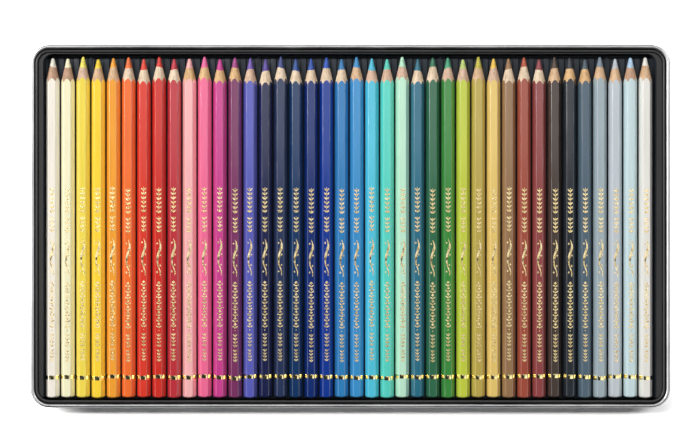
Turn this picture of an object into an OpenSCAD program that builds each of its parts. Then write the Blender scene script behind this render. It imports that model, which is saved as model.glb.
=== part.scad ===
// Flat tin of forty coloured hexagonal pencils, open, with the base standing in its upturned lid.
// X runs along the row of pencils, Y along each pencil towards its point, Z up.
// The origin is at the middle of the face that the tin stands on. Lengths are in millimetres.

/* [Pencils] */
// Width of a pencil between two opposite flat sides
pencil_flats = 6.2; // [5:0.1:8]
// How far each corner of the hexagon is rounded back
corner_loss = 0.06; // [0.02:0.01:0.2]
// Length of the longest pencil, from butt to point
pencil_len = 174.6; // [120:0.1:220]
// How much shorter the most used pencil is
sharpen_loss = 1.3; // [0:0.1:3]
// Diameter of the pigment core
core_d = 3.8; // [2:0.1:4.4]
// Glue line between a core and its wood casing
glue_gap = 0.05; // [0.03:0.01:0.1]
// Angle between the sharpened cone's side and the pencil's axis
cone_angle = 13; // [10:0.5:20]
// Diameter of the blunted point
tip_d = 0.9; // [0.4:0.1:1.4]
// Rise of the domed butt end
dome_rise = 1.3; // [0.5:0.1:2]
// Solid lacquer and wood behind the core at the butt end
butt_cap = 1.5; // [1:0.1:4]
// Gap between the corners of neighbouring pencils
pencil_gap = 0.73; // [0.5:0.01:1.6]
// How far a pencil may lie forward of the butt end of its groove
butt_play = 0.35; // [0:0.05:1]

/* [Tray] */
// Thickness of the formed plastic sheet
tray_t = 0.4; // [0.25:0.05:0.5]
// Gap between a pencil's lower flanks and its groove
groove_gap = 0.25; // [0.15:0.05:0.4]
// Drop from the pencils' side corners to the tops of the ridges between them
ridge_drop = 2.2; // [0.6:0.1:2.3]
// Height of the groove floors above the tin's floor
groove_lift = 4.3; // [2:0.1:8]
// Gap between the outermost pencils and the foot of the tray's side walls
side_gap = 0.3; // [0.2:0.1:2]
// Further room that the row leaves beside the last pencil
side_play = 0.7; // [0:0.1:2]
// How far the side walls lean outwards, from foot to flange
wall_lean = 0.6; // [0.5:0.1:3]
// Width of the flange beside the first pencil
flange_left = 2.2; // [1.1:0.1:4]
// Width of the flange beside the last pencil
flange_right = 2.7; // [1.1:0.1:6]
// Gap between the tray's end wall and the point of the longest pencil, as far forward as it goes
tip_gap = 1.05; // [0.4:0.05:6]
// Gap between the butt of a pencil and the tray's open end
butt_gap = 0.1; // [0.05:0.05:1]
// Length of the trough between the ridges and the end wall
trough_l = 2; // [1.5:0.1:8]
// Width of the four ribs that run from the ridges into the trough
rib_w = 1.0; // [0.6:0.1:1.6]
// How far the ribs reach into the trough
rib_reach = 1.1; // [0.5:0.1:1.4]
// How far the ribs run back along the ridges
rib_back = 3.4; // [1:0.1:8]
// Height of the ribs above the ridges
rib_rise = 0.5; // [0.2:0.1:1]
// Height of the flange above the tops of the pencils
flange_rise = 0.4; // [0.2:0.1:3]
// Plan radius of the pocket's corners at the points' end
pocket_r = 5; // [3:0.5:8]
// Gap between the tray and the rolled rim around it
tray_gap = 0.25; // [0.15:0.05:1]

/* [Base] */
// Thickness of the base's sheet steel
base_t = 0.3; // [0.2:0.05:0.5]
// Diameter of the base's rim, rolled inwards
base_curl_d = 1.2; // [1.1:0.1:2]
// Plan radius of the base's corners
base_r = 7; // [5:0.5:14]
// Outer radius of the bend between the base's floor and walls
base_bend = 1.3; // [0.8:0.1:1.3]
// Height of the rim above the tray's flange
rim_rise = 1.1; // [0.5:0.1:4]

/* [Lid] */
// Thickness of the lid's sheet steel
lid_t = 0.3; // [0.2:0.05:0.5]
// Gap between the base's walls and the lid's walls
lid_gap = 0.6; // [0.3:0.05:1.5]
// Diameter of the lid's edge, rolled outwards
lid_curl_d = 2.1; // [1.1:0.1:2.4]
// Outer radius of the bend between the lid's panel and walls
lid_bend = 2; // [1:0.1:3]
// How far the lid's edge stays below the base's rim
lid_drop = 0.4; // [0:0.1:6]

/* [Hidden] */
// Each pencil's colour name and lacquer, in the order of the row
PENCILS = [
    ["ivory", [0.95, 0.93, 0.88]], ["cream", [0.96, 0.94, 0.78]], ["lemon", [0.93, 0.87, 0.32]],
    ["yellow", [0.98, 0.83, 0.22]], ["golden", [0.95, 0.61, 0.18]], ["orange", [0.94, 0.44, 0.18]],
    ["vermilion", [0.88, 0.20, 0.15]], ["scarlet", [0.84, 0.18, 0.13]], ["carmine", [0.75, 0.18, 0.26]],
    ["salmon", [0.96, 0.70, 0.70]], ["pink", [0.93, 0.41, 0.59]], ["magenta", [0.78, 0.24, 0.57]],
    ["plum", [0.49, 0.20, 0.39]], ["violet", [0.36, 0.35, 0.74]], ["night_violet", [0.12, 0.12, 0.30]],
    ["indigo", [0.17, 0.20, 0.35]], ["prussian", [0.06, 0.24, 0.37]], ["ultramarine", [0.08, 0.20, 0.49]],
    ["royal_blue", [0.08, 0.24, 0.59]], ["cyan", [0.12, 0.47, 0.73]], ["azure", [0.20, 0.53, 0.78]],
    ["turquoise", [0.24, 0.73, 0.84]], ["sea_green", [0.28, 0.80, 0.77]], ["mint", [0.75, 0.91, 0.80]],
    ["petrol", [0.12, 0.39, 0.55]], ["fir_green", [0.10, 0.37, 0.28]], ["green", [0.18, 0.55, 0.28]],
    ["lime", [0.73, 0.78, 0.20]], ["olive", [0.69, 0.61, 0.28]], ["ochre", [0.90, 0.77, 0.43]],
    ["brown", [0.55, 0.41, 0.29]], ["rust", [0.65, 0.25, 0.18]], ["maroon", [0.53, 0.22, 0.26]],
    ["sepia", [0.25, 0.20, 0.18]], ["black", [0.10, 0.12, 0.18]], ["slate_blue", [0.30, 0.37, 0.46]],
    ["grey", [0.53, 0.63, 0.69]], ["light_grey", [0.71, 0.75, 0.80]], ["ice_blue", [0.73, 0.85, 0.88]],
    ["white", [0.91, 0.90, 0.88]]
];
count = len(PENCILS);
// Ridges, counted from the middle of the row, that carry a rib
RIBS = [-17, -6, 6, 17];
TRAY = [0.22, 0.24, 0.27];
BLACK_LACQUER = [0.13, 0.13, 0.14];
SILVER = [0.80, 0.80, 0.81];
SQRT3 = sqrt(3);
// Turns from one pencil to the next, in degrees, that spread their lengths and places unevenly
WEAR_TURN = 137.5;
PLAY_TURN = 79;
// Spare length of a cutting shape past the surface that it cuts
over = 1;
// Facets of a full circle
$fn = 96;

hex_r = pencil_flats / SQRT3;
corner_r = hex_r - corner_loss;
dome_r = (corner_r * corner_r + dome_rise * dome_rise) / (2 * dome_rise);
tip_r = tip_d / 2;
pitch = 2 * corner_r + pencil_gap;
row_w = count * pitch - pencil_gap;

lid_floor = lid_t;
base_floor = lid_floor + base_t;
groove_z = base_floor + groove_lift;
axis_z = groove_z + pencil_flats / 2;
ridge_z = axis_z - ridge_drop;
trough_z = base_floor + tray_t;
flange_z = groove_z + pencil_flats + flange_rise;
rim_z = flange_z + rim_rise;

tray_w = flange_left + flange_right + 2 * wall_lean + 2 * side_gap + side_play + row_w;
tray_l = butt_gap + butt_play + pencil_len + tip_gap + tray_t;
pocket_left = flange_left - tray_w / 2;
pocket_right = tray_w / 2 - flange_right;
pocket_x = (pocket_left + pocket_right) / 2;
row_x = pocket_x - side_play / 2;
end_wall_y = tray_l / 2 - tray_t;
ridge_end_y = end_wall_y - trough_l;

open_w = tray_w + 2 * tray_gap;
open_l = tray_l + 2 * tray_gap;
base_w = open_w + 2 * base_curl_d;
base_l = open_l + 2 * base_curl_d;
base_h = rim_z - lid_floor;
tray_r = base_r - base_curl_d - tray_gap;

lid_w = base_w + 2 * lid_gap + 2 * lid_t;
lid_l = base_l + 2 * lid_gap + 2 * lid_t;
lid_r = base_r + lid_gap + lid_t;
lid_h = rim_z - lid_drop;

function pencil_node(i) = str("pencil_", i < 9 ? "0" : "", i + 1, "_", PENCILS[i][0]);

// Middle of pencil i across the row
function pencil_x(i) = row_x + (i - (count - 1) / 2) * pitch;
// A value from 0 to 1 that differs from pencil to pencil
function wobble(i, turn) = (1 + sin(i * turn)) / 2;
function worn_len(i) = pencil_len - sharpen_loss * wobble(i, WEAR_TURN);
function butt_y(i) = butt_gap - tray_l / 2 + butt_play * wobble(i, PLAY_TURN);
// Half width of a groove at a depth below the pencil's axis, for a surface pushed out by gap
function groove_x(depth, gap) = hex_r + (2 * gap - depth) / SQRT3;

// ---- Shapes ----

module rounded_plan(w, l, r) {
    square([w - 2 * r, l], center = true);
    square([w, l - 2 * r], center = true);
    for (x = [r - w / 2, w / 2 - r], y = [r - l / 2, l / 2 - r])
        translate([x, y]) circle(r);
}

// Carries a profile round a rounded rectangle: its X is measured outwards from the outline, its Y is height
module round_sweep(w, l, r) {
    for (turn = [0, 180])
        rotate([0, 0, turn]) sweep_quarter(w, l, r) children();
    for (turn = [90, 270])
        rotate([0, 0, turn]) sweep_quarter(l, w, r) children();
}

module sweep_quarter(w, l, r) {
    translate([w / 2, 0, 0])
        rotate([90, 0, 0]) linear_extrude(l - 2 * r, center = true) children();
    translate([w / 2 - r, l / 2 - r, 0])
        rotate_extrude(angle = 90) translate([r, 0]) children();
}

// Extrudes a profile drawn in X and Z from y0 to y1
module along_pencils(y0, y1) {
    translate([0, y1, 0]) rotate([90, 0, 0]) linear_extrude(y1 - y0) children();
}

// Profile of a drawn sheet wall: the bend out of the floor, then the wall up to the rolled edge
module sheet_wall(t, bend, top) {
    intersection() {
        translate([-bend, bend]) difference() {
            circle(bend);
            circle(bend - t);
        }
        translate([-bend, 0]) square(bend);
    }
    translate([-t, bend]) square([t, top - bend]);
}

// Profile of a rolled edge: a ring of sheet with a slit beside the wall, which stands on side +1 or -1
module rolled_edge(d, t, wall_side) {
    difference() {
        circle(d / 2);
        circle(d / 2 - t);
        translate([wall_side * (d / 2 - t) - t / 2, -d]) square([t / 2, d]);
    }
}

// ---- Lid and base ----

module lid() {
    color(SILVER) {
        linear_extrude(lid_t) rounded_plan(lid_w - 2 * lid_bend, lid_l - 2 * lid_bend, lid_r - lid_bend);
        round_sweep(lid_w, lid_l, lid_r) {
            sheet_wall(lid_t, lid_bend, lid_h - lid_curl_d / 2);
            translate([lid_curl_d / 2 - lid_t, lid_h - lid_curl_d / 2]) rolled_edge(lid_curl_d, lid_t, -1);
        }
    }
}

module tin_base() {
    color(BLACK_LACQUER) translate([0, 0, lid_floor]) {
        linear_extrude(base_t) rounded_plan(base_w - 2 * base_bend, base_l - 2 * base_bend, base_r - base_bend);
        round_sweep(base_w, base_l, base_r) {
            sheet_wall(base_t, base_bend, base_h - base_curl_d / 2);
            translate([-base_curl_d / 2, base_h - base_curl_d / 2]) rolled_edge(base_curl_d, base_t, 1);
        }
    }
}

// ---- Tray ----

// One groove's section in X and Z, from its left ridge to its right ridge
function groove(i, gap, drop) = let (x = pencil_x(i), up = groove_x(ridge_drop + drop, gap),
    low = groove_x(pencil_flats / 2 + drop, gap)) [
        [x - up, ridge_z - drop], [x - low, groove_z - drop],
        [x + low, groove_z - drop], [x + up, ridge_z - drop]
    ];
function corrugation(gap, drop) = [for (i = [0 : count - 1]) each groove(i, gap, drop)];
function trough(gap, drop, floor_z) = let (low = groove_x(pencil_flats / 2 + drop, gap)) [
    [pencil_x(0) - low, floor_z],
    [pencil_x(count - 1) + low, floor_z]
];

// The pocket above the sheet, over a floor line drawn from left to right
module pocket_section(floor_line) {
    polygon(concat(
        [[pocket_left, flange_z + over], [pocket_left, flange_z], [pocket_left + wall_lean, ridge_z]],
        floor_line,
        [[pocket_right - wall_lean, ridge_z], [pocket_right, flange_z], [pocket_right, flange_z + over]]
    ));
}

// The hollow under the sheet
module hollow_section(floor_line) {
    inner_x = tray_w / 2 - tray_t;
    polygon(concat(
        [[-inner_x, -over], [-inner_x, flange_z - tray_t], [pocket_left - tray_t, flange_z - tray_t],
            [pocket_left + wall_lean - tray_t, ridge_z - tray_t]],
        floor_line,
        [[pocket_right - wall_lean + tray_t, ridge_z - tray_t], [pocket_right + tray_t, flange_z - tray_t],
            [inner_x, flange_z - tray_t], [inner_x, -over]]
    ));
}

// The pocket's plan: its corners are round only at the points' end
module pocket_plan() {
    spare = 4 * pocket_r;
    pocket_w = pocket_right - pocket_left;
    translate([pocket_x, -spare / 2])
        rounded_plan(pocket_w, 2 * end_wall_y + spare, pocket_r);
}

module pocket() {
    intersection() {
        linear_extrude(rim_z + over) pocket_plan();
        union() {
            along_pencils(-tray_l / 2 - over, ridge_end_y) pocket_section(corrugation(groove_gap, 0));
            along_pencils(ridge_end_y, end_wall_y) pocket_section(trough(groove_gap, 0, trough_z));
        }
    }
}

module hollow() {
    under_gap = groove_gap + tray_t;
    intersection() {
        linear_extrude(rim_z) rounded_plan(tray_w - 2 * tray_t, tray_l - 2 * tray_t, tray_r - tray_t);
        union() {
            along_pencils(tray_t - tray_l / 2, ridge_end_y - tray_t)
                hollow_section(corrugation(under_gap, tray_t));
            along_pencils(ridge_end_y - 2 * tray_t, end_wall_y)
                hollow_section(trough(under_gap, tray_t, 0));
        }
    }
}

// Straight rib with slightly sloping sides, half on its ridge and half over the trough
module rib(k) {
    translate([row_x + k * pitch, 0, 0])
        along_pencils(ridge_end_y - rib_back, ridge_end_y + rib_reach)
            polygon([[-rib_w / 2, ridge_z - tray_t], [-rib_w / 4, ridge_z + rib_rise],
                [rib_w / 4, ridge_z + rib_rise], [rib_w / 2, ridge_z - tray_t]]);
}

module pencil_tray() {
    color(TRAY) {
        difference() {
            translate([0, 0, base_floor])
                linear_extrude(flange_z - base_floor) rounded_plan(tray_w, tray_l, tray_r);
            pocket();
            hollow();
        }
        for (k = RIBS)
            rib(k);
    }
}

// ---- Pencils ----

// Distance back from the point at which the cone is as wide as radius r
function cone_back(r) = (r - tip_r) / tan(cone_angle);

// Half section of a pencil's round outline, butt at 0 and point at height l
module pencil_profile(l, r) {
    intersection() {
        polygon([[0, 0], [r, 0], [r, l - cone_back(r)], [tip_r, l], [0, l]]);
        translate([0, dome_r]) union() {
            circle(dome_r);
            square([dome_r, l]);
        }
    }
}

module casing(l) {
    difference() {
        intersection() {
            linear_extrude(l) circle(hex_r, $fn = 6);
            rotate_extrude() pencil_profile(l, corner_r);
        }
        translate([0, 0, butt_cap]) cylinder(l, r = core_d / 2);
    }
}

module core(l) {
    r = core_d / 2 - glue_gap;
    translate([0, 0, butt_cap + glue_gap])
        rotate_extrude()
            polygon([[0, 0], [r, 0], [r, l - butt_cap - glue_gap - cone_back(r)],
                [tip_r, l - butt_cap - glue_gap], [0, l - butt_cap - glue_gap]]);
}

module pencil(i) {
    translate([pencil_x(i), butt_y(i), axis_z]) rotate([-90, 0, 0]) {
        color(PENCILS[i][1]) casing(worn_len(i));
        color(PENCILS[i][1]) core(worn_len(i));
    }
}

lid();
tin_base();
pencil_tray();
for (i = [0 : count - 1])
    pencil(i);
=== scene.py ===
import math
import random

import bmesh
import bpy
from mathutils import Matrix, Vector


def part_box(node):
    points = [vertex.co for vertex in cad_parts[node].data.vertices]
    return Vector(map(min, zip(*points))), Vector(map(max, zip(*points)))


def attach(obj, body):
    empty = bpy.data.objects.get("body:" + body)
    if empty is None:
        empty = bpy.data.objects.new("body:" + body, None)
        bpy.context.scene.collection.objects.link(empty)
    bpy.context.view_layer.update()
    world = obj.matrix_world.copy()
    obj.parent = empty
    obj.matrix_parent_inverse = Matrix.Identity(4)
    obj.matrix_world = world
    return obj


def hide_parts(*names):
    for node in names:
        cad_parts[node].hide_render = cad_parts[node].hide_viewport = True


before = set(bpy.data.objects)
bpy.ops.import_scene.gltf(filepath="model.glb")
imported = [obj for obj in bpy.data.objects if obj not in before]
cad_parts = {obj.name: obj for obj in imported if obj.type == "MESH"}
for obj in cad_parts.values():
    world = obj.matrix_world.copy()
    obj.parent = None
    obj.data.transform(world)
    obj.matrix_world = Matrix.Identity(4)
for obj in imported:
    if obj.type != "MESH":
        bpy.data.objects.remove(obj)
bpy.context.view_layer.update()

MM = 0.001
scene = bpy.context.scene
scene.view_settings.view_transform = "Standard"

# ---- Camera: straight above the tin, about 850 mm over the pencils ----

CAMERA_PLACE = (-0.15, 1.9, 858)
CAMERA_LENS, CAMERA_SENSOR = 85.5, 36

camera_data = bpy.data.cameras.new("camera")
camera_data.sensor_width = CAMERA_SENSOR
camera_data.lens = CAMERA_LENS
camera_data.clip_start = 0.01
camera = bpy.data.objects.new("camera", camera_data)
camera.location = tuple(c * MM for c in CAMERA_PLACE)
scene.collection.objects.link(camera)
scene.camera = camera

# ---- What the CAD gives: all in millimetres ----


def cad_box(name):
    low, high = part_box(name)
    return low / MM, high / MM


lid_low, lid_high = cad_box("lid")
base_low, base_high = cad_box("tin_base")
PENCIL_NODES = sorted(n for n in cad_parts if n.startswith("pencil_") and n != "pencil_tray")

LID_T, LID_GAP, LID_BEND, LID_CURL = 0.3, 0.6, 2.0, 2.1
# The base's sheet is a hair under the CAD's 0.3, so that the tray's faces don't share a plane
# with it
BASE_T, BASE_R, BASE_BEND, BASE_CURL = 0.29, 7.0, 1.3, 1.2
LID_R = BASE_R + LID_GAP + LID_T
FLATS = 6.2
CONE = math.radians(13)
CORE_R, GLUE_GAP = 1.9, 0.05
BUTT_CAP = 1.5
DOME_REACH, DOME_RISE = 3.52, 1.3

# ---- Shader helpers ----

# Noise stays mostly between these
NOISE_LOW, NOISE_HIGH = 0.3, 0.7
NOISE = (NOISE_LOW, NOISE_HIGH)


def new_material(name):
    material = bpy.data.materials.new(name)
    material.use_nodes = True
    tree = material.node_tree
    return material, tree, tree.nodes["Principled BSDF"]


def node(tree, kind, **values):
    """A node with its properties or sockets set; _ stands for a space in a socket's name."""
    made = tree.nodes.new(kind)
    for key, value in values.items():
        if hasattr(made, key):
            setattr(made, key, value)
        else:
            made.inputs[key.replace("_", " ")].default_value = value
    return made


def feed(tree, socket, value):
    """Link a socket to another one, or set it to a number or a colour."""
    if isinstance(value, bpy.types.NodeSocket):
        tree.links.new(value, socket)
    elif isinstance(value, (int, float)):
        socket.default_value = value
    else:
        socket.default_value = (*value, 1)


def dress(tree, shader, colour, roughness, **values):
    """Link the colour and roughness of a Principled shader, and set its other sockets."""
    tree.links.new(colour, shader.inputs["Base Color"])
    tree.links.new(roughness, shader.inputs["Roughness"])
    for key, value in values.items():
        shader.inputs[key.replace("_", " ")].default_value = value


def object_coordinates(tree, scale=(1, 1, 1), offset=(0, 0, 0)):
    """Object coordinates in metres, times scale, moved by offset."""
    place = node(tree, "ShaderNodeTexCoord")
    mapping = node(tree, "ShaderNodeMapping", Scale=scale, Location=offset)
    tree.links.new(place.outputs["Object"], mapping.inputs["Vector"])
    return mapping.outputs["Vector"]


def noise(tree, vector, scale, detail=3.0, roughness=0.5):
    made = node(tree, "ShaderNodeTexNoise", Scale=scale, Detail=detail, Roughness=roughness)
    tree.links.new(vector, made.inputs["Vector"])
    return made.outputs["Fac"]


def ramp(tree, value, stops):
    """Colours by value: stops are (place, colour)."""
    made = node(tree, "ShaderNodeValToRGB")
    points = made.color_ramp.elements
    while len(points) < len(stops):
        points.new(0.5)
    for point, (place, colour) in zip(points, stops):
        point.position = place
        point.color = (*colour, 1)
    tree.links.new(value, made.inputs["Fac"])
    return made.outputs["Color"]


def fade(tree, value, dark, pale, low=NOISE_LOW, high=NOISE_HIGH):
    return ramp(tree, value, [(low, dark), (high, pale)])


def levels(tree, value, taken, given):
    """A value carried from the range taken to the range given; it stops at their ends."""
    made = node(tree, "ShaderNodeMapRange")
    for key, number in zip(("From Min", "From Max", "To Min", "To Max"), (*taken, *given)):
        made.inputs[key].default_value = number
    tree.links.new(value, made.inputs["Value"])
    return made.outputs["Result"]


def mix(tree, factor, a, b, blend="MIX"):
    """Two colours mixed; factor, a and b are sockets or values."""
    made = node(tree, "ShaderNodeMix", data_type="RGBA", blend_type=blend)
    # The sockets of a colour mix: its factor, A and B
    for index, value in ((0, factor), (6, a), (7, b)):
        feed(tree, made.inputs[index], value)
    return made.outputs[2]


def arithmetic(tree, operation, a, b):
    made = node(tree, "ShaderNodeMath", operation=operation)
    for socket, value in zip(made.inputs, (a, b)):
        feed(tree, socket, value)
    return made.outputs[0]


def multiply(tree, a, b):
    return arithmetic(tree, "MULTIPLY", a, b)


def bump(tree, shader, height, distance, strength=1.0):
    made = node(tree, "ShaderNodeBump", Distance=distance, Strength=strength)
    tree.links.new(height, made.inputs["Height"])
    tree.links.new(made.outputs["Normal"], shader.inputs["Normal"])


def attribute(tree, name):
    return node(tree, "ShaderNodeAttribute", attribute_name=name).outputs["Fac"]


def linear(colour):
    """A colour written 0 to 255 as seen on a screen, in the numbers that shaders take."""
    return tuple((c / 255 / 12.92) if c <= 10 else ((c / 255 + 0.055) / 1.055) ** 2.4
                 for c in colour)


def scaled(colour, factor, more=0.0):
    return tuple(min(1.0, c * factor + more) for c in colour)


# ---- Materials ----


def silver_material():
    material, tree, shader = new_material("silver_tinplate")
    cloud = noise(tree, object_coordinates(tree), 60, 4)
    scratch = noise(tree, object_coordinates(tree, (40, 900, 900)), 1, 2)
    dress(tree, shader, fade(tree, cloud, (0.41, 0.41, 0.42), (0.50, 0.50, 0.51)),
          levels(tree, cloud, NOISE, (0.30, 0.42)), Metallic=1)
    bump(tree, shader, scratch, 0.00002, 0.4)
    return material


def black_material():
    material, tree, shader = new_material("black_lacquer")
    place = object_coordinates(tree)
    cloud = noise(tree, place, 45, 4)
    peel = noise(tree, place, 900, 2)
    dress(tree, shader, fade(tree, cloud, (0.027, 0.027, 0.028), (0.036, 0.036, 0.037)),
          levels(tree, cloud, NOISE, (0.38, 0.48)),
          Specular_IOR_Level=0.3, Coat_Weight=0.2, Coat_Roughness=0.12)
    bump(tree, shader, peel, 0.00002, 0.5)
    return material


def tray_material():
    """Slate grooves under a greyer flange, which hands and lids rub."""
    material, tree, shader = new_material("tray_plastic")
    place = object_coordinates(tree)
    cloud = noise(tree, place, 30, 4)
    grain = noise(tree, place, 2600, 2)
    slate = fade(tree, cloud, (0.015, 0.021, 0.029), (0.021, 0.029, 0.039))
    grey = fade(tree, cloud, (0.020, 0.020, 0.021), (0.028, 0.028, 0.029))
    height = node(tree, "ShaderNodeSeparateXYZ")
    tree.links.new(place, height.inputs[0])
    rubbed = levels(tree, height.outputs["Z"], (0.0088, 0.0112), (0.0, 1.0))
    dress(tree, shader, mix(tree, rubbed, slate, grey), levels(tree, grain, NOISE, (0.42, 0.56)),
          Specular_IOR_Level=0.3)
    bump(tree, shader, grain, 0.00002, 0.6)
    return material


def gold_material(name, deep, pale, dent_scale, dent, rough):
    """Gold foil: smooth on the rings, creased by the stamp in the ornament."""
    material, tree, shader = new_material(name)
    place = object_coordinates(tree)
    cloud = noise(tree, place, 700, 3)
    dents = noise(tree, place, dent_scale, 3, 0.6)
    dress(tree, shader, fade(tree, cloud, deep, pale),
          levels(tree, cloud, NOISE, (rough, rough * 1.6)), Metallic=1)
    bump(tree, shader, dents, dent)
    return material


def lacquer_material(name, colour, seed):
    """A pencil's lacquer, paler here and there on its corners: rubbed-thin wear, which is also a
    painted highlight along the corners.
    """
    material, tree, shader = new_material("lacquer_" + name)
    colour = linear(colour)
    place = object_coordinates(tree, offset=(seed * 0.37, seed * 0.11, 0))
    lengthwise = object_coordinates(tree, (1, 0.08, 1), (0, seed * 0.13, seed * 0.29))
    drawn_out = object_coordinates(tree, (1, 0.02, 1), (seed * 0.21, 0, seed * 0.17))
    streak = noise(tree, lengthwise, 600, 3)
    cloud = noise(tree, place, 90, 3)
    peel = noise(tree, drawn_out, 1500, 2)
    # Paler patches on the corners: rubbed-thin wear, and a painted highlight along the corners too
    corner = multiply(tree, attribute(tree, "corner"), cloud)
    wear_and_highlight = levels(tree, corner, (0.50, 0.66), (0.0, 0.35))
    paint = fade(tree, streak, scaled(colour, 0.955), scaled(colour, 1.03, 0.003))
    dress(tree, shader, mix(tree, wear_and_highlight, paint, scaled(colour, 0.75, 0.16)),
          levels(tree, cloud, NOISE, (0.18, 0.26)), Coat_Weight=1, Coat_Roughness=0.08)
    bump(tree, shader, peel, 0.00002, 0.6)
    return material


def wood_material(name, colour, seed):
    material, tree, shader = new_material("wood_" + name)
    colour = linear(colour)
    place = object_coordinates(tree, (1, 0.10, 1), (seed * 0.17, seed * 0.23, seed * 0.31))
    grain = noise(tree, place, 1500, 4, 0.65)
    band = noise(tree, place, 420, 2)
    fibre = noise(tree, place, 5200, 2)
    dark = tuple(c * f for c, f in zip(colour, (0.66, 0.58, 0.50)))
    body = ramp(tree, grain, [(0.32, dark), (0.50, colour), (0.68, scaled(colour, 1.12))])
    tone = fade(tree, band, (0.86, 0.82, 0.78), (1.0, 1.0, 1.0), 0.35, 0.65)
    dress(tree, shader, mix(tree, 1.0, body, tone, "MULTIPLY"),
          levels(tree, grain, NOISE, (0.50, 0.72)))
    bump(tree, shader, fibre, 0.00008, 0.7)
    return material


def core_material(name, colour, seed):
    """Pigment, gritty and turned by the sharpener."""
    material, tree, shader = new_material("pigment_" + name)
    colour = linear(colour)
    place = object_coordinates(tree, offset=(seed * 0.19, seed * 0.07, seed * 0.41))
    lathe = object_coordinates(tree, (0.15, 1, 0.15), (0, seed * 0.3, 0))
    grit = noise(tree, place, 2400, 3)
    cloud = noise(tree, place, 700, 2)
    turned = noise(tree, lathe, 6000, 2)
    dark, pale = scaled(colour, 0.74), scaled(colour, 1.12, 0.012)
    dress(tree, shader, mix(tree, 0.35, fade(tree, cloud, dark, pale, 0.35, 0.65),
                            fade(tree, grit, dark, pale, 0.35, 0.65)),
          levels(tree, grit, NOISE, (0.36, 0.56)))
    bump(tree, shader, turned, 0.00006, 0.5)
    return material


# ---- Mesh helpers ----


def add_piece(name, points, faces, body, materials, indices=None, origin=(0, 0, 0),
              sharp_angle=40, sharp_rings=(), point_values=None):
    """A piece from points in millimetres, measured from origin, which rides on a body."""
    mesh = bpy.data.meshes.new(name)
    mesh.from_pydata([tuple(c * MM for c in p) for p in points], [], faces)
    for material in materials:
        mesh.materials.append(material)
    if indices:
        mesh.polygons.foreach_set("material_index", indices)
    edit = bmesh.new()
    edit.from_mesh(mesh)
    bmesh.ops.recalc_face_normals(edit, faces=edit.faces)
    edit.to_mesh(mesh)
    edit.free()
    mesh.shade_smooth()
    mesh.set_sharp_from_angle(angle=math.radians(sharp_angle))
    if sharp_rings:
        flags = mesh.attributes.get("sharp_edge")
        if flags is None:
            flags = mesh.attributes.new("sharp_edge", "BOOLEAN", "EDGE")
        for edge in mesh.edges:
            a, b = edge.vertices
            if any(a in ring and b in ring for ring in sharp_rings):
                flags.data[edge.index].value = True
    for key, values in (point_values or {}).items():
        mesh.attributes.new(key, "FLOAT", "POINT").data.foreach_set("value", values)
    piece = bpy.data.objects.new(name, mesh)
    piece.location = tuple(c * MM for c in origin)
    scene.collection.objects.link(piece)
    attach(piece, body)
    return piece


class Skin:
    """Rings of points joined by quads; index is the place of a face's material."""

    def __init__(self):
        self.points, self.faces, self.indices = [], [], []

    def ring(self, points):
        start = len(self.points)
        self.points.extend(points)
        return list(range(start, start + len(points)))

    def join(self, a, b, index=0):
        for i in range(len(a)):
            j = (i + 1) % len(a)
            self.faces.append((a[i], a[j], b[j], b[i]))
            self.indices.append(index)

    def chain(self, rings, index=0):
        for a, b in zip(rings, rings[1:]):
            self.join(a, b, index)

    def extend(self, last, points, index=0):
        """One more ring, joined to the last one."""
        ring = self.ring(points)
        self.join(last, ring, index)
        return ring

    def cap(self, ring, index=0):
        self.faces.append(tuple(ring))
        self.indices.append(index)

    def fan(self, ring, middle, index=0):
        tip = len(self.points)
        self.points.append(middle)
        for i in range(len(ring)):
            self.faces.append((ring[i], ring[(i + 1) % len(ring)], tip))
            self.indices.append(index)


SIDE_STEPS, CORNER_STEPS = 36, 14


def outline(width, length, radius):
    """Points round a rounded rectangle, each with its outward direction."""
    found = []
    for k, (sx, sy) in enumerate(((1, 1), (-1, 1), (-1, -1), (1, -1))):
        mx, my = sx * (width / 2 - radius), sy * (length / 2 - radius)
        for s in range(CORNER_STEPS + 1):
            a = math.radians(90 * (k + s / CORNER_STEPS))
            nx, ny = math.cos(a), math.sin(a)
            found.append((mx + radius * nx, my + radius * ny, nx, ny))
        side = (length if k % 2 else width) - 2 * radius
        a = math.radians(90 * (k + 1))
        nx, ny = math.cos(a), math.sin(a)
        for s in range(1, SIDE_STEPS):
            d = side * s / SIDE_STEPS
            found.append((mx + radius * nx - ny * d, my + radius * ny + nx * d, nx, ny))
    return found


def arc(cx, cz, r, start, end, steps):
    turns = [math.radians(start + (end - start) * s / steps) for s in range(steps + 1)]
    return [(cx + r * math.cos(a), cz + r * math.sin(a)) for a in turns]


# ---- Lid and base ----

# A wall has a ring of points this far above its bend and this far below its rolled edge's middle
WALL_FOOT, WALL_HEAD = 2.5, 2.2
BEND_STEPS = 8
# Where the lid's outward roll and the base's inward roll end, in degrees
LID_ROLL_END, BASE_ROLL_END = -122, 236


def pan_profile(sheet, bend, floor, roll_z, roll):
    """A pan's sheet as (outwards, up): up its outside, round its rolled edge, down its inside."""
    bend_z = floor + bend
    wall = (bend_z + WALL_FOOT, roll_z - WALL_HEAD)
    return (arc(-bend, bend_z, bend, -90, 0, BEND_STEPS) + [(0, z) for z in wall] + roll
            + [(-sheet, z) for z in reversed(wall)]
            + arc(-bend, bend_z, bend - sheet, 0, -90, BEND_STEPS))


def lid_profile():
    r = LID_CURL / 2
    u, z = r - LID_T, lid_high.z - r
    roll = arc(u, z, r - LID_T, 180, LID_ROLL_END, 20) + arc(u, z, r, LID_ROLL_END, 180, 26)
    return pan_profile(LID_T, LID_BEND, lid_low.z, z, roll)


def base_profile():
    r = BASE_CURL / 2
    u, z = -r, base_high.z - r
    roll = arc(u, z, r, 0, BASE_ROLL_END, 20) + arc(u, z, r - BASE_T, BASE_ROLL_END, 0, 14)
    return pan_profile(BASE_T, BASE_BEND, base_low.z, z, roll)


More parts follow.
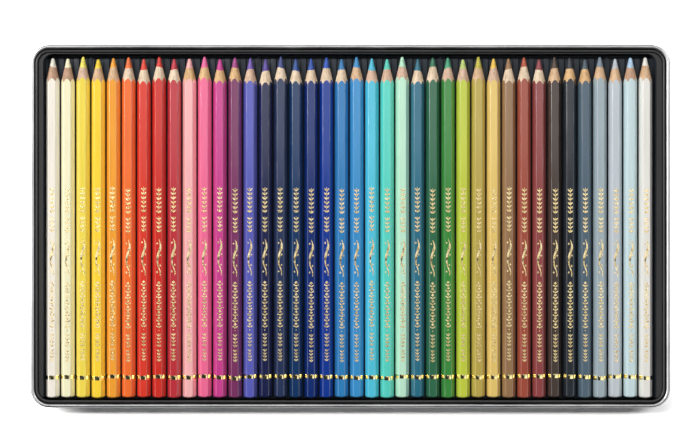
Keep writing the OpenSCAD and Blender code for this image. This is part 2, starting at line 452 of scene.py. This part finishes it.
def swept_pan(name, width, length, radius, profile, body, material):
    """A sheet pan: its profile carried round a rounded rectangle."""
    path = outline(width, length, radius)
    skin = Skin()
    rings = [skin.ring([(x + nx * u, y + ny * u, z) for x, y, nx, ny in path]) for u, z in profile]
    skin.chain(rings)
    skin.cap(rings[0])
    skin.cap(rings[-1])
    return add_piece(name, skin.points, skin.faces, body, [material])


silver, black, plastic = silver_material(), black_material(), tray_material()
gold_ring = gold_material("gold_ring", (0.90, 0.73, 0.30), (1.0, 0.92, 0.54),
                          dent_scale=600, dent=0.000004, rough=0.08)
gold_print = gold_material("gold_print", (0.88, 0.66, 0.28), (0.98, 0.84, 0.50),
                           dent_scale=2600, dent=0.00010, rough=0.22)

# The lid's walls stand inside its roll, by the roll's width less the sheet
lid_w, lid_l = (lid_high - lid_low).xy - Vector((2, 2)) * (LID_CURL - LID_T)
lid = swept_pan("lid_shell", lid_w, lid_l, LID_R, lid_profile(), "lid", silver)
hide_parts("lid")

base_w, base_l = (base_high - base_low).xy
base = swept_pan("base_shell", base_w, base_l, BASE_R, base_profile(), "tin_base", black)
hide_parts("tin_base")

# ---- Tray: the CAD sheet's own faces, with every fold softened ----

TRAY_FOLD = 0.15


def soft_copy(name, source, body, material, width):
    """A copy of a CAD node's faces, its folds rounded over by width."""
    edit = bmesh.new()
    edit.from_mesh(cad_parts[source].data)
    bmesh.ops.remove_doubles(edit, verts=edit.verts, dist=1e-6)
    bmesh.ops.dissolve_limit(edit, angle_limit=math.radians(1.5), verts=edit.verts,
                             edges=edit.edges)
    mesh = bpy.data.meshes.new(name)
    edit.to_mesh(mesh)
    edit.free()
    mesh.materials.clear()
    mesh.materials.append(material)
    mesh.polygons.foreach_set("material_index", [0] * len(mesh.polygons))
    mesh.shade_smooth()
    mesh.set_sharp_from_angle(angle=math.radians(30))
    piece = bpy.data.objects.new(name, mesh)
    scene.collection.objects.link(piece)
    round_over = piece.modifiers.new("round_over", "BEVEL")
    round_over.width = width * MM
    round_over.segments = 3
    round_over.limit_method = "ANGLE"
    round_over.angle_limit = math.radians(25)
    round_over.use_clamp_overlap = True
    round_over.harden_normals = True
    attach(piece, body)
    return piece


tray = soft_copy("tray_sheet", "pencil_tray", "pencil_tray", plastic, TRAY_FOLD)
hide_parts("pencil_tray")

# ---- Pencils: their colours, and how worn their points are ----

WOODS = {
    "brown": (190, 154, 128), "pink": (212, 181, 158), "pale": (226, 206, 180),
    "gold": (218, 180, 130), "tan": (212, 178, 142),
}
# Lacquer, pigment and wood of each pencil, by the colour's name
COLOURS = {
    "ivory": ((243, 236, 223), (238, 234, 218), "brown"),
    "cream": ((244, 240, 202), (236, 230, 190), "brown"),
    "lemon": ((242, 218, 84), (236, 222, 92), "pink"),
    "yellow": ((250, 212, 60), (244, 206, 40), "tan"),
    "golden": ((242, 160, 50), (244, 160, 40), "tan"),
    "orange": ((240, 112, 48), (236, 112, 50), "pale"),
    "vermilion": ((218, 58, 40), (226, 66, 44), "pale"),
    "scarlet": ((205, 47, 36), (208, 52, 40), "pale"),
    "carmine": ((188, 50, 60), (192, 48, 66), "pale"),
    "salmon": ((246, 180, 180), (238, 172, 172), "gold"),
    "pink": ((238, 106, 150), (232, 100, 150), "gold"),
    "magenta": ((200, 64, 142), (200, 56, 142), "gold"),
    "plum": ((120, 49, 95), (160, 62, 130), "gold"),
    "violet": ((88, 92, 182), (110, 84, 170), "pink"),
    "night_violet": ((20, 27, 70), (84, 66, 148), "pale"),
    "indigo": ((36, 50, 86), (60, 72, 130), "pale"),
    "prussian": ((12, 50, 94), (36, 74, 144), "pale"),
    "ultramarine": ((6, 40, 108), (34, 76, 160), "pale"),
    "royal_blue": ((8, 52, 144), (34, 80, 176), "pale"),
    "cyan": ((44, 124, 184), (46, 118, 176), "pale"),
    "azure": ((56, 142, 200), (60, 140, 196), "tan"),
    "turquoise": ((80, 194, 220), (72, 184, 212), "pink"),
    "sea_green": ((88, 210, 194), (84, 200, 180), "pink"),
    "mint": ((188, 232, 206), (176, 222, 192), "pink"),
    "petrol": ((42, 108, 132), (40, 110, 130), "pale"),
    "fir_green": ((42, 102, 72), (44, 112, 82), "pale"),
    "green": ((56, 134, 58), (64, 158, 118), "pink"),
    "lime": ((192, 204, 66), (186, 206, 116), "pink"),
    "olive": ((184, 164, 78), (190, 180, 66), "tan"),
    "ochre": ((228, 196, 112), (232, 190, 74), "pink"),
    "brown": ((146, 112, 78), (150, 112, 74), "pale"),
    "rust": ((158, 74, 56), (178, 84, 54), "pale"),
    "maroon": ((140, 66, 66), (140, 62, 66), "pale"),
    "sepia": ((66, 54, 48), (78, 60, 48), "tan"),
    "black": ((26, 34, 42), (44, 48, 56), "gold"),
    "slate_blue": ((78, 98, 113), (72, 88, 100), "gold"),
    "grey": ((158, 174, 181), (122, 136, 150), "tan"),
    "light_grey": ((192, 200, 206), (186, 194, 202), "tan"),
    "ice_blue": ((198, 220, 224), (170, 200, 226), "brown"),
    "white": ((230, 228, 222), (228, 226, 216), "tan"),
}

# Radius of a point by how much it was used, and which pencils have the first and the last
SHARP_POINT, USED_POINT, BLUNT_POINT = 0.50, 0.67, 0.84
SHARP = ("violet", "night_violet", "indigo", "prussian", "ultramarine", "royal_blue", "petrol",
         "sepia")
BLUNT = ("ivory", "cream", "yellow", "salmon", "mint", "lime", "ice_blue", "white")

# ---- Pencils: the barrel and its sharpened end ----

# A flat's points as shares of its half width, and how many steps a corner has
FLAT_SHARES = (-1, -0.86, -0.55, -0.2, 0.2, 0.55, 0.86, 1)
CORNER_CUTS = 5


def hexagon(apothem=FLATS / 2, fillet=0.5, crown=0.0, skew=0.0):
    """Points round a pencil's barrel with their corner weight: flats up and down, corners
    rounded. Each flat swells by crown, most beside its middle where skew isn't 0."""
    half = (apothem - fillet) * math.tan(math.radians(30))
    out = (apothem - fillet) / math.cos(math.radians(30))
    found = []
    for k in range(6):
        a, b = math.radians(30 + 60 * k), math.radians(60 + 60 * k)
        nx, nz = math.cos(a), math.sin(a)
        for f in FLAT_SHARES:
            high = apothem + crown * (1 - f * f) * (1 + skew * f)
            found.append((nx * high - nz * half * f, nz * high + nx * half * f,
                          0.5 if abs(f) == 1 else 0.0))
        for s in range(1, CORNER_CUTS):
            c = a + math.radians(60) * s / CORNER_CUTS
            found.append((out * math.cos(b) + fillet * math.cos(c),
                          out * math.sin(b) + fillet * math.sin(c), 1.0))
    return found


BARREL = hexagon()
BARREL_REACH = [math.hypot(x, z) for x, z, _ in BARREL]

# Random phases run from 0 to about a whole turn
PHASES = 6.28


class Tip:
    """The sharpened end: its cone, its blunt point and where the pigment starts."""

    def __init__(self, length, chance, blunt):
        self.blunt = blunt + chance.uniform(-0.05, 0.05)
        # Where the cone would end if it weren't blunt
        self.apex = length + self.blunt * (1 / math.sin(CONE) - 1)
        self.length = length
        self.bared = CORE_R - chance.uniform(0.0, 0.2)
        # The cone's axis lies a little beside the barrel's
        self.ox, self.oz = chance.uniform(-0.10, 0.10), chance.uniform(-0.10, 0.10)
        self.lean = (chance.uniform(0.03, 0.13), chance.uniform(0, PHASES))
        # The ragged edges of the wood and of the lacquer, as waves of (size, count, phase)
        self.jag = [(chance.uniform(0.006, 0.022), k, chance.uniform(0, PHASES))
                    for k in (2, 3, 5, 8)]
        self.nick = [(chance.uniform(0.01, 0.03), k, chance.uniform(0, PHASES))
                     for k in (9, 14, 23)]

    def along(self, radius):
        return self.apex - radius / math.tan(CONE)

    def mouth(self, turn):
        """Radius at which wood gives way to pigment, by turn round the cone."""
        return (self.bared + self.lean[0] * math.cos(turn - self.lean[1])
                + sum(d * math.cos(k * turn + p) for d, k, p in self.jag))

    def point(self, radius, turn, y=None):
        """A point round the cone's axis: on the cone, or at y along the pencil."""
        return (self.ox + radius * math.cos(turn), self.along(radius) if y is None else y,
                self.oz + radius * math.sin(turn))


# The butt's rings: share of the barrel, share at which the dome is read, and how far past it
BUTT_RINGS = ((0.3, 0.3, 0), (0.58, 0.58, 0), (0.8, 0.8, 0), (0.92, 0.92, 0),
              (0.972, 0.972, 0.03), (0.994, 1.0, 0.16), (1.0, 1.0, 0.42))
BARREL_RINGS = (5, 9, 30, 70, 110, 145)
DOME_R = (DOME_REACH ** 2 + DOME_RISE ** 2) / (2 * DOME_RISE)
# The lacquer's last ring lies this far before its edge, and its nicks are this share as deep
# as they are long
LACQUER_END, NICK_DEPTH = 0.6, 0.5
# The shaved cone's rings as shares of the way from the lacquer to the pigment, and its ripples
CONE_SHARES = (0.08, 0.25, 0.45, 0.65, 0.85, 1.0)
SHAVE = 0.012
# The bore's first two rings lie this far behind the mouth, the first drawn in by LIP from it
LIP, LIP_BACK, BORE_BACK = 0.03, 0.28, 0.9
# Places of a casing's materials
COAT, WOOD = 0, 1


def dome_at(radius):
    """How far the butt's dome lies behind its middle at a radius."""
    return DOME_R - math.sqrt(DOME_R * DOME_R - radius * radius)


def casing(name, body, origin, tip, materials):
    skin = Skin()
    rings = []
    for share, read, past in BUTT_RINGS:
        rings.append(skin.ring([(x * share, dome_at(read * r) + past, z * share)
                                for (x, z, _), r in zip(BARREL, BARREL_REACH)]))
    for y in BARREL_RINGS:
        rings.append(skin.ring([(x, y, z) for x, z, _ in BARREL]))
    # The cone cuts each side of the barrel in an arch
    cuts, arch = [], []
    for x, z, _ in BARREL:
        radius, turn = math.hypot(x - tip.ox, z - tip.oz), math.atan2(z - tip.oz, x - tip.ox)
        nick = sum(a * math.cos(k * turn + p) for a, k, p in tip.nick)
        cuts.append((radius + nick * NICK_DEPTH, turn, tip.mouth(turn)))
        arch.append(tip.along(radius) + nick)
    for back in (LACQUER_END, 0):
        rings.append(skin.ring([(x, y - back, z) for (x, z, _), y in zip(BARREL, arch)]))
    skin.chain(rings, COAT)
    skin.fan(rings[0][::-1], (0, 0, 0), COAT)

    last = lacquer_edge = rings[-1]
    for share in CONE_SHARES:
        loop = []
        for radius, turn, mouth in cuts:
            x, y, z = tip.point(radius + (mouth - radius) * share, turn)
            shave = SHAVE * math.sin(turn * 7 + share * 9) * (share < 1)
            loop.append((x + shave * math.cos(turn), y, z + shave * math.sin(turn)))
        last = skin.extend(last, loop, WOOD)
    mouth_edge = last
    # The bore that holds the pigment core
    for loop in ([tip.point(mouth - LIP, turn, tip.along(mouth) - LIP_BACK)
                  for _, turn, mouth in cuts],
                 [tip.point(CORE_R, turn, tip.along(mouth) - BORE_BACK)
                  for _, turn, mouth in cuts],
                 [(CORE_R * math.cos(turn), BUTT_CAP, CORE_R * math.sin(turn))
                  for _, turn, _ in cuts]):
        last = skin.extend(last, loop, WOOD)
    skin.cap(last, WOOD)

    # Each ring has the barrel's corner weights. The fan's middle comes after the lacquer's rings
    corner = [weight for _, _, weight in BARREL]
    wood_rings = len(skin.points) // len(BARREL) - len(rings)
    weights = corner * len(rings) + [0.0] + corner * wood_rings
    return add_piece(name, skin.points, skin.faces, body, materials, skin.indices, origin,
                     sharp_angle=32, sharp_rings=[set(lacquer_edge), set(mouth_edge)],
                     point_values={"corner": weights})


CORE_SIDES = 28
CORE_RINGS = (60, 120)
# Rings behind the mouth: how far back, and how far inside the mouth, or None on the rod
NECK_RINGS = ((0.95, None), (0.30, 0.09), (0.03, 0.03))
# The pigment starts proud of the wood, in a collar, and then follows the cone
COLLAR, COLLAR_FRONT, CONE_INSET = 0.018, 0.05, 0.012
POINT_SHARES = (0.12, 0.35, 0.6, 0.85, 1.0)
POINT_ANGLES = (30, 50, 70)


def core(name, body, origin, tip, material):
    turns = [math.tau * k / CORE_SIDES for k in range(CORE_SIDES)]
    mouths = [tip.mouth(t) for t in turns]
    rod = CORE_R - GLUE_GAP
    skin = Skin()
    rings = [skin.ring([(rod * math.cos(t), y, rod * math.sin(t)) for t in turns])
             for y in (BUTT_CAP + GLUE_GAP, *CORE_RINGS)]
    skin.cap(rings[0][::-1])
    for back, inset in NECK_RINGS:
        rings.append(skin.ring([tip.point(rod if inset is None else mouth - inset, t,
                                          tip.along(mouth) - back)
                                for t, mouth in zip(turns, mouths)]))
    rings.append(skin.ring([tip.point(mouth + COLLAR, t, tip.along(mouth) + COLLAR_FRONT)
                            for t, mouth in zip(turns, mouths)]))
    collar = rings[-1]
    # The cone runs on to where the blunt point's ball touches it
    touch = tip.blunt * math.cos(CONE)
    for share in POINT_SHARES:
        loop = []
        for t, mouth in zip(turns, mouths):
            start = mouth - CONE_INSET
            radius = start + (touch - start) * share
            ripple = 1 + 0.012 * math.sin(3 * t + 11 * share)
            loop.append(tip.point(radius * ripple, t, tip.along(radius)))
        rings.append(skin.ring(loop))
    middle = tip.length - tip.blunt
    for angle in POINT_ANGLES:
        a = math.radians(angle)
        rings.append(skin.ring([tip.point(tip.blunt * math.cos(a), t,
                                          middle + tip.blunt * math.sin(a)) for t in turns]))
    skin.chain(rings)
    skin.fan(rings[-1], (tip.ox, tip.length, tip.oz))
    return add_piece(name, skin.points, skin.faces, body, [material], origin=origin,
                     sharp_rings=[set(collar)])


# ---- Gold: a ring near the butt and a plain ornament along the top side ----

# Runs of paired leaves, large at the top and finer below: start, count, pitch, length, width
LEAF_RUNS = ((0.0, 6, 2.20, 1.85, 0.95), (-14.8, 4, 2.05, 1.80, 0.90),
             (-74.2, 4, 1.80, 1.60, 0.80), (-82.2, 4, 1.65, 1.50, 0.76))
LEAF_TURN = 48
# The scroll's two strokes: from, to, sway, thickness, phase
STROKES = ((-26.5, -38.0, 0.85, 1.00, 0.0), (-35.0, -45.4, 0.75, 0.80, 3.1))
STROKE_STEPS = 22
SCROLL_LOZENGES = ((-0.75, -28.6), (0.2, -31.4), (0.8, -34.6), (-0.55, -36.6), (0.65, -39.9),
                   (-0.8, -43.2))
# Bold lozenges, each over a chevron
LOZENGE_START, LOZENGE_COUNT, LOZENGE_PITCH = -48.7, 8, 3.0
LAST_LOZENGE = (0, -73.0)


def leaf(x, y, length, width, turn):
    c, s = math.cos(math.radians(turn)), math.sin(math.radians(turn))
    shape = [(0, 0), (length * 0.3, width * 0.42), (length * 0.68, width * 0.40), (length, 0),
             (length * 0.68, -width * 0.30), (length * 0.3, -width * 0.36)]
    return [(x + a * c - b * s, y + a * s + b * c) for a, b in shape]


def mirrored(shape):
    return [(-x, y) for x, y in reversed(shape)]


def lozenge(x, y, width, length):
    return [(x - width / 2, y), (x, y - length / 2), (x + width / 2, y), (x, y + length / 2)]


def chevron(y):
    """A chevron's two arms under a lozenge at y."""
    return [[(-1.3, y - 0.70), (0, y - 1.40), (0, y - 2.12), (-1.3, y - 1.42)],
            [(0, y - 1.40), (1.3, y - 0.70), (1.3, y - 1.42), (0, y - 2.12)]]


def stroke(low, high, sway, thick, phase):
    """A brush stroke in short pieces, thin at its ends."""
    line = []
    for k in range(STROKE_STEPS + 1):
        f = k / STROKE_STEPS
        swell = math.sin(math.pi * min(1.0, 0.06 + f * 0.9)) ** 0.7
        line.append((sway * math.sin(phase + f * 5.4), low + (high - low) * f, thick * swell / 2))
    return [[(xa - wa, ya + wa * 0.5), (xb - wb, yb + wb * 0.5), (xb + wb, yb - wb * 0.5),
             (xa + wa, ya - wa * 0.5)] for (xa, ya, wa), (xb, yb, wb) in zip(line, line[1:])]


def ornament():
    """Generic leaves, lozenges, chevrons and a scroll, as shapes of (across, along), along from
    0 to -88.2."""
    shapes = []
    for start, count, pitch, length, width in LEAF_RUNS:
        foot = start - count * pitch
        shapes.append([(-0.13, foot), (0.13, foot), (0.10, start - 0.2), (-0.10, start - 0.2)])
        for k in range(count):
            shape = leaf(0.10, start - pitch * (k + 0.95), length, width, LEAF_TURN)
            shapes += [shape, mirrored(shape)]
    for line in STROKES:
        shapes += stroke(*line)
    shapes += [lozenge(x, y, 0.95, 1.3) for x, y in SCROLL_LOZENGES]
    for k in range(LOZENGE_COUNT):
        y = LOZENGE_START - k * LOZENGE_PITCH
        shapes += [lozenge(0, y, 1.7, 1.6), *chevron(y)]
    shapes.append(lozenge(*LAST_LOZENGE, 0.8, 0.8))
    return shapes


ORNAMENT = ornament()
PRINT_LOW, PRINT_HIGH = FLATS / 2 - 0.03, FLATS / 2 + 0.02
# The foil ring: its distance from the axis, its corners, its swell and half its width
RING_APOTHEM, RING_FILLET, RING_SWELL, RING_HALF = FLATS / 2 + 0.02, 0.9, 0.12, 1.04
# Its profile: how far it is drawn in, by place as a share of half its width
RING_PROFILE = ((0.05, -1.0), (0.01, -0.985), (0.0, -0.93), (0.0, 0.93), (0.01, 0.985),
                (0.05, 1.0))
# Places of the gilding's materials
RING_FOIL, PRINT_FOIL = 0, 1


def gilding(name, body, origin, shift_x, start_y, ring_y, skew):
    skin = Skin()
    band = hexagon(RING_APOTHEM, RING_FILLET, RING_SWELL, skew)
    rings = []
    for inset, place in RING_PROFILE:
        share = 1 - inset / (FLATS / 2)
        rings.append(skin.ring([(x * share, ring_y + place * RING_HALF, z * share)
                                for x, z, _ in band]))
    skin.chain(rings + rings[:1], RING_FOIL)
    for shape in ORNAMENT:
        bottom, top = (skin.ring([(x + shift_x, y + start_y, z) for x, y in shape])
                       for z in (PRINT_LOW, PRINT_HIGH))
        skin.join(bottom, top, PRINT_FOIL)
        skin.cap(bottom[::-1], PRINT_FOIL)
        skin.cap(top, PRINT_FOIL)
    add_piece(name, skin.points, skin.faces, body, [gold_ring, gold_print], skin.indices,
              origin, sharp_angle=30)


# ---- The forty pencils ----

SEED_STEP = 7919
# The ornament's start along the tin, the ring's place on a pencil, and how far a pencil's own
# may lie from them
ORNAMENT_Y, ORNAMENT_PLAY = 20.0, 0.5
RING_Y, RING_PLAY = 11.1, 0.6
SHIFT_PLAY = 0.25
# The foil rings swell towards the right on the left pencils and towards the left on the last
# ones: the pencil with no skew, the skew by pencil, and the most that there is
SKEW_MIDDLE, SKEW_STEP, SKEW_MOST = 25, 0.1, 0.6

for number, cad_name in enumerate(PENCIL_NODES, 1):
    colour_name = cad_name.split("_", 2)[2]
    lacquer_colour, core_colour, wood = COLOURS[colour_name]
    body = "pencil_%02d" % number
    low, high = cad_box(cad_name)
    origin = ((low.x + high.x) / 2, low.y, (low.z + high.z) / 2)
    chance = random.Random(number * SEED_STEP)
    blunt = (SHARP_POINT if colour_name in SHARP else
             BLUNT_POINT if colour_name in BLUNT else USED_POINT)
    tip = Tip(high.y - low.y, chance, blunt)
    label = "%02d_%s" % (number, colour_name)
    coat = lacquer_material(label, lacquer_colour, number)
    cedar = wood_material(label, WOODS[wood], number)
    pigment = core_material(label, core_colour, number)
    shell = casing("pencil_%s_casing" % label, body, origin, tip, [coat, cedar])
    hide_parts(cad_name)
    rod = core("pencil_%s_core" % label, body, origin, tip, pigment)
    shift_x = chance.uniform(-SHIFT_PLAY, SHIFT_PLAY)
    start_y = ORNAMENT_Y - low.y + chance.uniform(-ORNAMENT_PLAY, ORNAMENT_PLAY)
    ring_y = RING_Y + chance.uniform(-RING_PLAY, RING_PLAY)
    skew = max(-SKEW_MOST, min(SKEW_MOST, (number - SKEW_MIDDLE) * SKEW_STEP))
    gilding("pencil_%s_gilding" % label, body, origin, shift_x, start_y, ring_y, skew)

# ---- Floor: plain and pale, and pure white far from the tin; in metres from here on ----

FLOOR_HALF = 4
# A hair under the tin, so that their faces don't share a plane
FLOOR_Z = -0.0001
# The camera sees it go from lit to pure white between these distances from the middle
WHITE_FROM, WHITE_TO = 0.30, 0.70


def floor_material():
    material, tree, shader = new_material("floor")
    tree.nodes.remove(shader)
    out = tree.nodes["Material Output"]
    seen = node(tree, "ShaderNodeLightPath")
    plain = node(tree, "ShaderNodeBsdfDiffuse", Color=(0.92, 0.92, 0.92, 1))
    bright = node(tree, "ShaderNodeBsdfDiffuse", Color=(2.3, 2.3, 2.3, 1))
    white = node(tree, "ShaderNodeEmission")
    distance = node(tree, "ShaderNodeVectorMath", operation="LENGTH")
    tree.links.new(object_coordinates(tree, (1, 1, 0)), distance.inputs[0])
    far = levels(tree, distance.outputs["Value"], (WHITE_FROM, WHITE_TO), (0.0, 1.0))
    shown = node(tree, "ShaderNodeMixShader")
    choose = node(tree, "ShaderNodeMixShader")
    for mixer, links in ((shown, (far, bright.outputs[0], white.outputs[0])),
                         (choose, (seen.outputs["Is Camera Ray"], plain.outputs[0],
                                   shown.outputs[0]))):
        for socket, value in zip(mixer.inputs, links):
            tree.links.new(value, socket)
    tree.links.new(choose.outputs[0], out.inputs["Surface"])
    return material


floor_mesh = bpy.data.meshes.new("floor")
floor_mesh.from_pydata([(x * FLOOR_HALF, y * FLOOR_HALF, 0)
                        for x, y in ((-1, -1), (1, -1), (1, 1), (-1, 1))], [], [(0, 1, 2, 3)])
floor_mesh.materials.append(floor_material())
floor = bpy.data.objects.new("floor", floor_mesh)
floor.location.z = FLOOR_Z
scene.collection.objects.link(floor)

# ---- World ----

world = bpy.data.worlds.new("world")
scene.world = world
world.use_nodes = True
sky = world.node_tree
background = sky.nodes["Background"]
direction = node(sky, "ShaderNodeTexCoord")
parts = node(sky, "ShaderNodeSeparateXYZ")
sky.links.new(direction.outputs["Generated"], parts.inputs[0])
up = parts.outputs["Z"]


def slope_of(axis):
    """How far a direction leans along X or Y for each unit that it rises."""
    rise = levels(sky, up, (0.02, 1.0), (0.02, 1.0))
    return arithmetic(sky, "DIVIDE", parts.outputs[axis], rise)


def plus(a, b):
    return arithmetic(sky, "ADD", a, b)


def times(a, b):
    return multiply(sky, a, b)


# What glossy faces show: pale walls left and right, brighter beside the butts, a soft panel
# over the points, dark straight above
across, along = slope_of("X"), slope_of("Y")
nearer = times(levels(sky, along, (-0.12, 0.10), (1.0, 0.5)),
               levels(sky, along, (-0.9, -0.45), (0.0, 1.0)))
wall_light = times(nearer, levels(sky, along, (0.45, 0.9), (1.0, 0.0)))
left_wall = times(levels(sky, across, (-0.40, -0.60), (0.0, 2.6)), wall_light)
right_wall = times(levels(sky, across, (0.14, 0.30), (0.0, 1.3)), wall_light)
panel_left = levels(sky, across, (-0.155, -0.115), (0.0, 1.05))
panel_right = levels(sky, across, (0.13, 0.17), (1.0, 0.0))
panel_near = levels(sky, along, (0.02, 0.045), (0.0, 1.0))
panel_far = levels(sky, along, (0.15, 0.35), (1.0, 0.35))
panel = times(times(panel_left, panel_right), times(panel_near, panel_far))
raised = levels(sky, up, (0.30, 0.65), (0.12, 1.0))
horizon = levels(sky, up, (0.22, 0.08), (0.0, 0.8))
mirrored_room = plus(times(plus(plus(left_wall, right_wall), panel), raised), horizon)
room = mix(sky, 1.0, (0.03, 0.03, 0.032), mirrored_room, "ADD")
# What lights the rest: a weak sky, brighter low over the points, whose light runs into the gaps
# between pencils
fill = mix(sky, levels(sky, along, (0.40, 0.70), (0.0, 1.0)), (0.026, 0.026, 0.027),
           (0.30, 0.30, 0.306))
ray = node(sky, "ShaderNodeLightPath")
unseen = mix(sky, ray.outputs["Is Glossy Ray"], fill, room)
shown = mix(sky, ray.outputs["Is Camera Ray"], unseen, (1.0, 1.0, 1.0))
sky.links.new(shown, background.inputs["Color"])
background.inputs["Strength"].default_value = 1.0

# ---- Lamps ----


def lamp(name, tilt, slope, distance, length, width, radiance, colour=(1, 1, 1)):
    """A soft rectangular lamp aimed at the tin. It stands in a plane through X that leans
    towards +Y by slope, at an angle of tilt from straight up."""
    data = bpy.data.lights.new(name, "AREA")
    data.shape = "RECTANGLE"
    data.size, data.size_y = length, width
    data.energy = radiance * math.pi * length * width
    data.color = colour
    made = bpy.data.objects.new(name, data)
    a, lean = math.radians(tilt), math.atan(slope)
    leaning = Vector((0, math.sin(lean), math.cos(lean)))
    side = Vector((1, 0, 0))
    back = side * math.sin(a) + leaning * math.cos(a)
    right = side * math.cos(a) - leaning * math.sin(a)
    made.location = back * distance
    made.rotation_euler = Matrix((right, back.cross(right), back)).transposed().to_euler()
    made.visible_camera = False
    scene.collection.objects.link(made)


WARM, NEARLY_WHITE = (1.0, 0.99, 0.97), (1.0, 0.99, 0.98)
lamp("lamp_left", tilt=-50, slope=0.38, distance=2.2, length=1.30, width=0.42,
     radiance=19.5, colour=WARM)
lamp("lamp_left_high", tilt=-31, slope=0.38, distance=2.2, length=0.90, width=0.42,
     radiance=12.0, colour=WARM)
lamp("lamp_right", tilt=38, slope=0.38, distance=1.8, length=1.16, width=0.38,
     radiance=7.4, colour=NEARLY_WHITE)
lamp("lamp_key", tilt=0, slope=0.56, distance=1.6, length=0.62, width=0.31, radiance=5.5)
